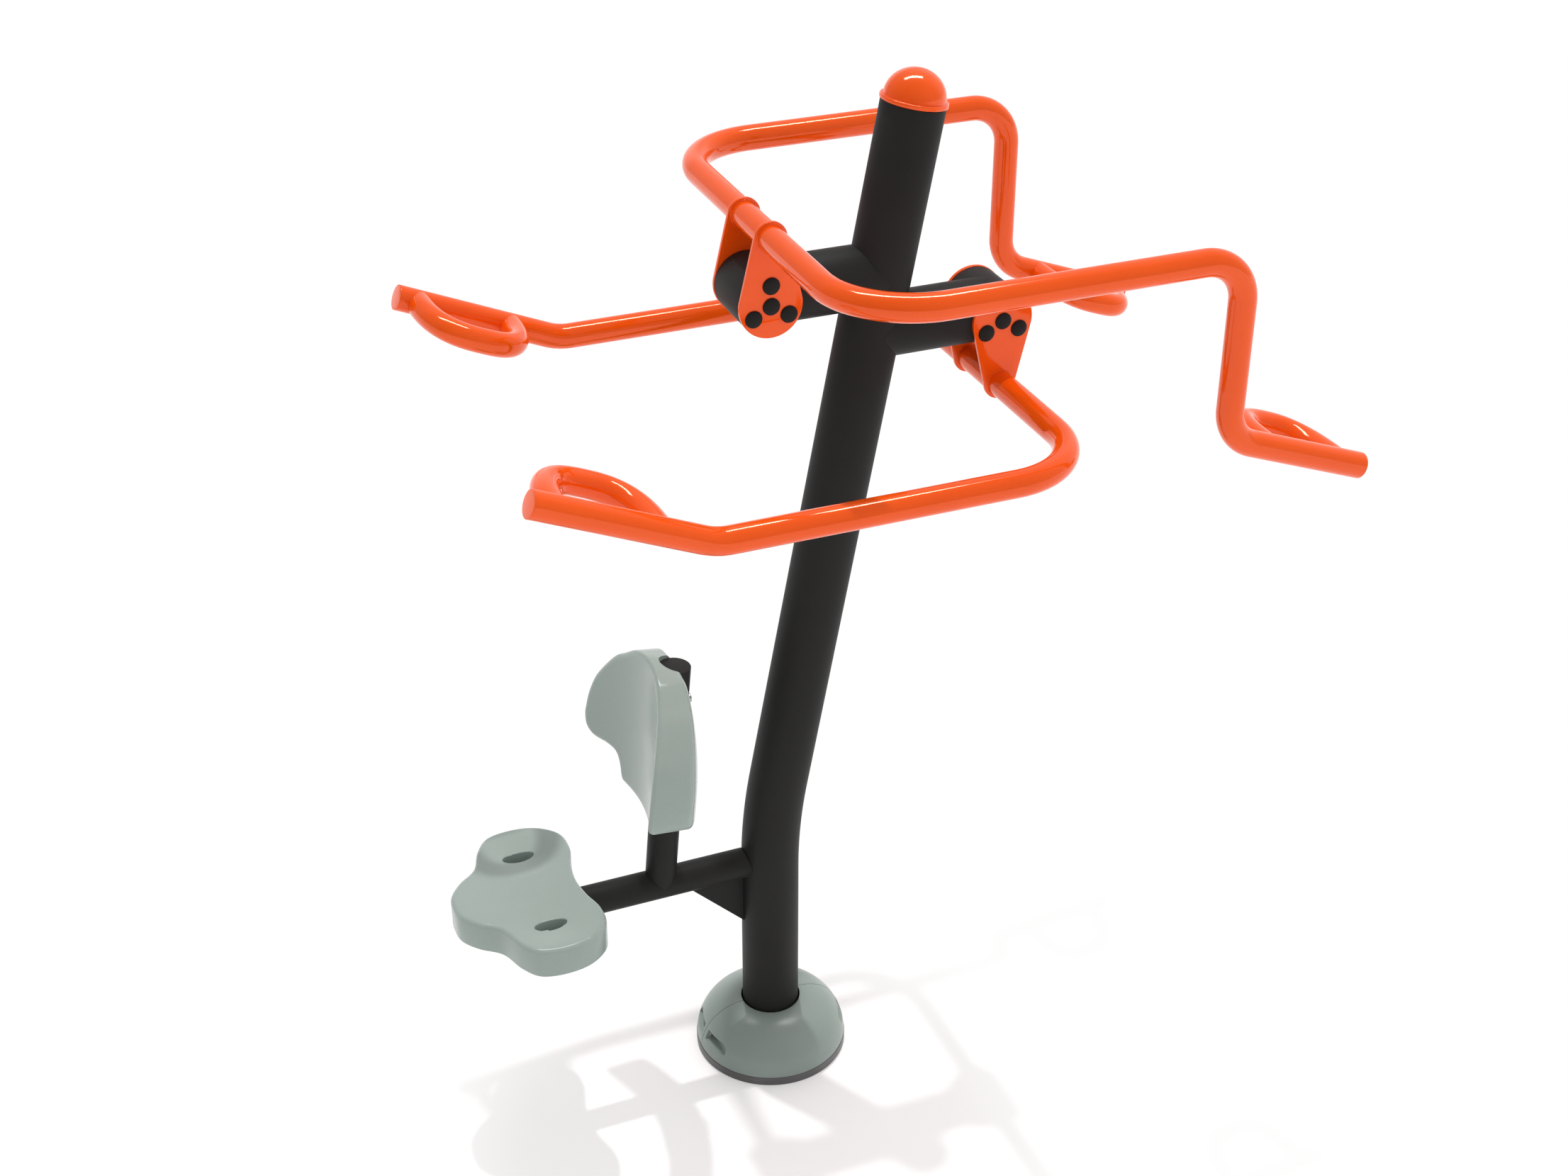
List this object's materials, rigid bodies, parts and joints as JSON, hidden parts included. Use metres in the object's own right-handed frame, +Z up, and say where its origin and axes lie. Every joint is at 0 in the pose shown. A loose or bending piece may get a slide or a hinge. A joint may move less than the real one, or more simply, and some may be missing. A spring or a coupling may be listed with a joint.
{
  "type": "outdoor lat pulldown machine",
  "caption": "Two-user outdoor pulldown machine: bent post on a domed foot, seat with backrest on one side, and orange U-shaped pull arms with grip loops on hubs.",
  "frame": {"origin": "centre of the foot plate's underside, on the ground under the post", "axes": "+Z up, +X along the beams from the seat towards the open side, Y along both hubs with -Y towards the camera's side"},
  "size_m": [1.6061, 0.8978, 2.0312],
  "materials": {
    "charcoal_paint": "satin charcoal powder coat on steel pipe",
    "orange_paint": "glossy orange powder coat on steel",
    "cap_plastic": "glossy orange moulding",
    "seat_plastic": "fine-grained moulded plastic, grey-green",
    "cover_plastic": "fine-grained moulded plastic, grey-green",
    "foot_plate": "dark grey coated steel",
    "zinc_steel": "zinc-plated steel",
    "black_bolts": "steel bolts under black domed caps",
    "bush_rubber": "black rubber"
  },
  "bodies": {
    "base": {"base_flange": "foot_plate", "anchor_stud_1": "zinc_steel", "anchor_stud_2": "zinc_steel", "anchor_stud_3": "zinc_steel", "anchor_stud_4": "zinc_steel", "base_cover_front": "cover_plastic", "base_cover_rear": "cover_plastic", "cover_screw_left": "zinc_steel", "cover_screw_right": "zinc_steel", "main_post": "charcoal_paint", "post_cap": "cap_plastic", "left_beam": "charcoal_paint", "right_beam": "charcoal_paint", "left_housing": "charcoal_paint", "right_housing": "charcoal_paint", "left_bush": "bush_rubber", "right_bush": "bush_rubber", "seat_bar": "charcoal_paint", "seat_gusset": "charcoal_paint", "back_post": "charcoal_paint", "seat": "seat_plastic", "seat_strap": "charcoal_paint", "seat_screw_near": "zinc_steel", "seat_screw_far": "zinc_steel", "backrest": "seat_plastic", "backrest_bolt_low": "zinc_steel", "backrest_bolt_high": "zinc_steel"},
    "upper_arm": {"upper_arm_tube": "orange_paint", "upper_spindle": "zinc_steel", "upper_loop_near": "orange_paint", "upper_plug_near": "orange_paint", "upper_ear_near": "orange_paint", "upper_bolt_near_1": "black_bolts", "upper_bolt_near_2": "black_bolts", "upper_bolt_near_3": "black_bolts", "upper_bolt_near_4": "black_bolts", "upper_loop_far": "orange_paint", "upper_plug_far": "orange_paint", "upper_ear_far": "orange_paint", "upper_bolt_far_1": "black_bolts", "upper_bolt_far_2": "black_bolts", "upper_bolt_far_3": "black_bolts", "upper_bolt_far_4": "black_bolts"},
    "lower_arm": {"lower_arm_tube": "orange_paint", "lower_spindle": "zinc_steel", "lower_loop_near": "orange_paint", "lower_plug_near": "orange_paint", "lower_ear_near": "orange_paint", "lower_bolt_near_1": "black_bolts", "lower_bolt_near_2": "black_bolts", "lower_bolt_near_3": "black_bolts", "lower_bolt_near_4": "black_bolts", "lower_loop_far": "orange_paint", "lower_plug_far": "orange_paint", "lower_ear_far": "orange_paint", "lower_bolt_far_1": "black_bolts", "lower_bolt_far_2": "black_bolts", "lower_bolt_far_3": "black_bolts", "lower_bolt_far_4": "black_bolts"}
  },
  "joints": [
    {"name": "upper_arm_hinge", "type": "hinge", "parent": "base", "child": "upper_arm", "pos_m": [-0.019, 0, 1.6732], "axis": [0, 1, 0], "range_deg": [0, 30], "stiffness_Nm_per_rad": 110, "springref_deg": -45.84},
    {"name": "lower_arm_hinge", "type": "hinge", "parent": "base", "child": "lower_arm", "pos_m": [0.4225, 0, 1.5755], "axis": [0, -1, 0], "range_deg": [0, 30], "stiffness_Nm_per_rad": 110, "springref_deg": -45.84}
  ]
}
